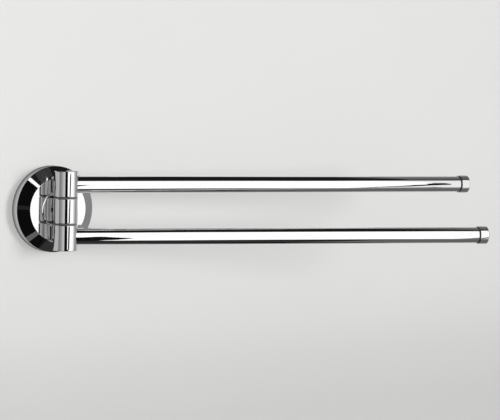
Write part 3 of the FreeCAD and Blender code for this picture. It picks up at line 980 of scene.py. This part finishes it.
def circle(radius, count=CIRCLE_STEPS, first=0.0, step=math.tau / CIRCLE_STEPS):
    """Places round the origin, from the first angle on."""
    angles = [first + step * number for number in range(count)]
    return [(radius * math.cos(angle), radius * math.sin(angle)) for angle in angles]


def on_wall(depth, *places):
    """Corners of a card just behind the wall plane, with a hole where the cover stands."""
    first = math.atan2(places[0][1], places[0][0])
    area = sum(a[0] * b[1] - b[0] * a[1] for a, b in zip(places, [*places[1:], places[0]]))
    step = -math.copysign(math.tau / CIRCLE_STEPS, area)
    hole = circle(CARD_HOLE, CIRCLE_STEPS + 1, first, step)
    return [(x, depth, z) for x, z in (*places, places[0], *hole)]


card(
    "front_panel",
    WHITE,
    upright(FRONT, *LEFT_EDGE, *TONGUE, *TOP_EDGE, *RIGHT_EDGE, *BOTTOM_EDGE),
)
card("right_frame", BLACK, upright(FRONT + 1, *RIGHT_EDGE[1:-1], *FRAME_OUTSIDE))
card("right_panel", 1.2, upright(FRONT + 3, (372, -220), (372, 330), (520, 330), (520, -220)))
card("lower_flag", BLACK, upright(FRONT - 5, *LOWER_FLAG))
card(
    "barrel_line",
    BLACK,
    [(29, -120, 24), (17, -120, -36), (7, -350, -56), (38, -350, 6)],
    toward=(-200, -100, 0),
)
card(
    "lower_patch",
    0.16,
    upright(FRONT - 6, (-58, -268), (-164, -362), (-113, -419), (-8, -325)),
)
card(
    "left_flag",
    BLACK,
    upright(FRONT - 2, (-236, -600), (-236, 335), TONGUE[0], *LEFT_EDGE[::-1], (-50, -600)),
)
card("left_soft", 0.022, upright(FRONT - 3, (-236, -22), (-236, 20), (-188, 20), (-188, -22)))
card(
    "top_lip",
    0.012,
    upright(
        FRONT + 2, (-900, 700), (-900, 335), *TONGUE, *TOP_EDGE, (400, 450), (900, 450), (900, 700)
    ),
)
card("top_soft", 0.05, upright(FRONT + 1, (-20, 300), (-20, 480), (205, 480), (205, 380)))
card(
    "bottom_lip",
    0.012,
    upright(FRONT + 2, (-300, -600), (-300, -440), *BOTTOM_EDGE[::-1], (350, -600)),
)
card("ceiling", 0.014, level(520, (-600, -352), (525, -352), (525, 600), (-600, 600)))
card("under_floor", DARK_GREY, level(-520, (-600, -352), (372, -352), (372, 600), (-600, 600)))
card(
    "wall_light",
    0.62,
    on_wall(0.5, (-500, -60), (-500, 45), (100, 45), (300, 100), (900, 120), (900, -120)),
)
card("wall_glow", 0.88, upright(-0.45, (50, -5), (50, 44), (110, 44), (300, 85), (300, -5)))
card("wall_dark", 0.008, on_wall(1, (-500, -600), (-500, 600), (330, 600), (330, -600)))
for number, (radius, tone) in enumerate(RIM_SHADES):
    card(f"rim_shade_{number}", tone, on_wall(0.1 + 0.08 * number, *circle(radius)))


# ---------------------------------------------------------------- wall, floor, world and lamp

BACKDROP_SIZE = 6.0  # metres
WALL_PLACE = (0.1, 0.0004, 0)  # metres; just behind the wall plane
FLOOR_PLACE = (0.1, -BACKDROP_SIZE / 2, -0.55)  # metres
WALL_COLOUR = (0.755, 0.754, 0.747)
WALL_EVEN_COLOUR = (0.775, 0.773, 0.765)
WALL_EVENNESS = 0.33  # share of the wall's light that doesn't come from the lamp
# painted shade against height on the wall: darker towards the bottom
WALL_SHADE_TONES = [(-160, 0.8), (-120, 0.86), (-90, 0.93), (-60, 0.97), (0, 1.0), (50, 1.02), (160, 1.03)]
# painted shade across the wall: a little darker towards +X
WALL_SHADE_FADE = ((-0.1, 0.35), (1.0, 0.95))  # metres along the wall, and the tone there
MOTTLE_SCALE, MOTTLE_DEPTH = 6.0, 0.03
FLOOR_COLOUR = (0.74, 0.74, 0.735)
OPEN_ROOM = (0.62, 0.62, 0.62)
HORIZON_FADE = (0.5, 0.85)  # from here to here, up or down, the bands turn into an even grey
KEY_ENERGY = 1.79
KEY_SPREAD = 22  # degrees
KEY_DIRECTION = (-1.9, 2.8, -0.35)

# tones that mirrors see round the horizon: azimuth from straight off the wall, + to the right
HORIZON = [
    (-180, 0.38), (-140, 0.57), (-112, 0.52), (-100, 0.23), (-88, 0.25), (-78, 0.33), (-62, 0.48),
    (-50, 0.7), (-36, 0.76), (-30, 0.4), (20, 0.64), (47, 0.79), (60, 0.63), (75, 0.45), (88, 0.31),
    (110, 0.38), (140, 0.57), (180, 0.38),
]


def wall_material():
    """Pale matt paint that also glows a little, with painted shade: darker towards the bottom and a
    little towards +X. From behind, and for light on its way, the wall isn't there.
    """
    material, tree = new_material("pale_wall")
    nodes = tree.nodes
    shader = nodes["Principled BSDF"]
    shader.inputs["Roughness"].default_value = 0.9
    shader.inputs["Specular IOR Level"].default_value = 0.1
    place = nodes.new("ShaderNodeTexCoord").outputs["Object"]
    axes = nodes.new("ShaderNodeSeparateXYZ")
    feed(tree, axes.inputs["Vector"], place)
    mottle = noise(tree, place, MOTTLE_SCALE, 2.0)
    # painted shade: the tone falls towards the bottom and towards +X
    low, high = WALL_SHADE_TONES[0][0], WALL_SHADE_TONES[-1][0]
    height = map_range(tree, axes.outputs["Y"], (low * MM, high * MM))
    fall = tone_ramp(tree, height, [((z - low) / (high - low), tone) for z, tone in WALL_SHADE_TONES])
    tone = maths(tree, "MULTIPLY", fall, map_range(tree, axes.outputs["X"], *WALL_SHADE_FADE))
    grain = maths(tree, "MULTIPLY_ADD", mottle, MOTTLE_DEPTH, 1 - MOTTLE_DEPTH / 2)
    tone = maths(tree, "MULTIPLY", tone, grain)
    feed(tree, shader.inputs["Base Color"], tinted(tree, tone, WALL_COLOUR))
    even = nodes.new("ShaderNodeEmission")
    feed(tree, even.inputs["Color"], tinted(tree, tone, WALL_EVEN_COLOUR))
    side = nodes.new("ShaderNodeNewGeometry")
    path = nodes.new("ShaderNodeLightPath")
    gone = maths(tree, "MAXIMUM", side.outputs["Backfacing"], path.outputs["Is Shadow Ray"])
    surface = blend_shader(tree, WALL_EVENNESS, shader.outputs["BSDF"], even.outputs["Emission"])
    clear = nodes.new("ShaderNodeBsdfTransparent")
    either = blend_shader(tree, gone, surface, clear.outputs["BSDF"])
    feed(tree, nodes["Material Output"].inputs["Surface"], either)
    return material


def floor_material():
    material, tree = new_material("pale_floor")
    shader = tree.nodes["Principled BSDF"]
    shader.inputs["Base Color"].default_value = (*FLOOR_COLOUR, 1)
    shader.inputs["Roughness"].default_value = 0.85
    return material


def make_backdrop(name, material, place, turn=(0, 0, 0), cuts=0):
    """A large plane that mirrors don't see. Its place is in metres and its turn in degrees."""
    deselect_all()
    rotation = [math.radians(angle) for angle in turn]
    bpy.ops.mesh.primitive_plane_add(size=BACKDROP_SIZE, location=place, rotation=rotation)
    backdrop = bpy.context.object
    backdrop.name = name
    if cuts:
        bpy.ops.object.mode_set(mode="EDIT")
        bpy.ops.mesh.subdivide(number_cuts=cuts)
        bpy.ops.object.mode_set(mode="OBJECT")
    backdrop.data.materials.append(material)
    hide_from(backdrop, glossy=False)


def make_world():
    """One grey for the camera and for matt faces. Mirrors see bands of light and shade round
    the horizon, which fade into an even grey above and below."""
    world = bpy.data.worlds.new("studio")
    bpy.context.scene.world = world
    world.use_nodes = True
    tree = world.node_tree
    place = tree.nodes.new("ShaderNodeTexCoord")
    axes = tree.nodes.new("ShaderNodeSeparateXYZ")
    feed(tree, axes.inputs["Vector"], place.outputs["Generated"])
    off_wall = maths(tree, "MULTIPLY", axes.outputs["Y"], -1.0)
    bearing = maths(tree, "ARCTAN2", axes.outputs["X"], off_wall)
    turn = maths(tree, "ADD", maths(tree, "DIVIDE", bearing, math.tau), 0.5)
    bands = tone_ramp(tree, turn, [(azimuth / 360 + 0.5, tone) for azimuth, tone in HORIZON])
    height = maths(tree, "ABSOLUTE", axes.outputs["Z"])
    fade = map_range(tree, height, HORIZON_FADE, interpolation="SMOOTHSTEP")
    mirrored = blend_colour(tree, fade, bands, (MID_GREY, MID_GREY, MID_GREY))
    path = tree.nodes.new("ShaderNodeLightPath")
    seen = blend_colour(tree, path.outputs["Is Glossy Ray"], OPEN_ROOM, mirrored)
    feed(tree, tree.nodes["Background"].inputs["Color"], seen)


def make_key_light():
    """Soft light from the right, a little above the object, even over the whole wall."""
    light = bpy.data.lights.new("key", "SUN")
    light.energy = KEY_ENERGY
    light.angle = math.radians(KEY_SPREAD)
    lamp = bpy.data.objects.new("key", light)
    lamp.rotation_euler = Vector(KEY_DIRECTION).to_track_quat("-Z", "Y").to_euler()
    hide_from(lamp, glossy=False)
    bpy.context.scene.collection.objects.link(lamp)


make_backdrop("wall_backdrop", wall_material(), WALL_PLACE, turn=OFF_WALL, cuts=3)
make_backdrop("pale_floor", floor_material(), FLOOR_PLACE)
make_world()
make_key_light()

# ---------------------------------------------------------------- camera

CAMERA_PLACE = Vector((-708.9, -1255.9, 102.5)) * MM
YAW, PITCH, ROLL = (math.radians(angle) for angle in (35.16, -3.991, 1.364))
FOCAL_PIXELS, FRAME_WIDTH, SENSOR = 2000, 500, 36

forward = Vector(
    (math.sin(YAW) * math.cos(PITCH), math.cos(YAW) * math.cos(PITCH), math.sin(PITCH))
)
level_right = Vector((math.cos(YAW), -math.sin(YAW), 0))
level_up = level_right.cross(forward)
right = level_right * math.cos(ROLL) + level_up * math.sin(ROLL)
up = level_up * math.cos(ROLL) - level_right * math.sin(ROLL)
facing = Matrix((right, up, -forward)).transposed().to_4x4()
lens = bpy.data.cameras.new("photo_view")
lens.sensor_width = SENSOR
lens.lens = FOCAL_PIXELS / FRAME_WIDTH * SENSOR
camera = bpy.data.objects.new("photo_view", lens)
camera.matrix_world = Matrix.Translation(CAMERA_PLACE) @ facing
bpy.context.scene.collection.objects.link(camera)
bpy.context.scene.camera = camera
bpy.context.scene.view_settings.view_transform = "Standard"
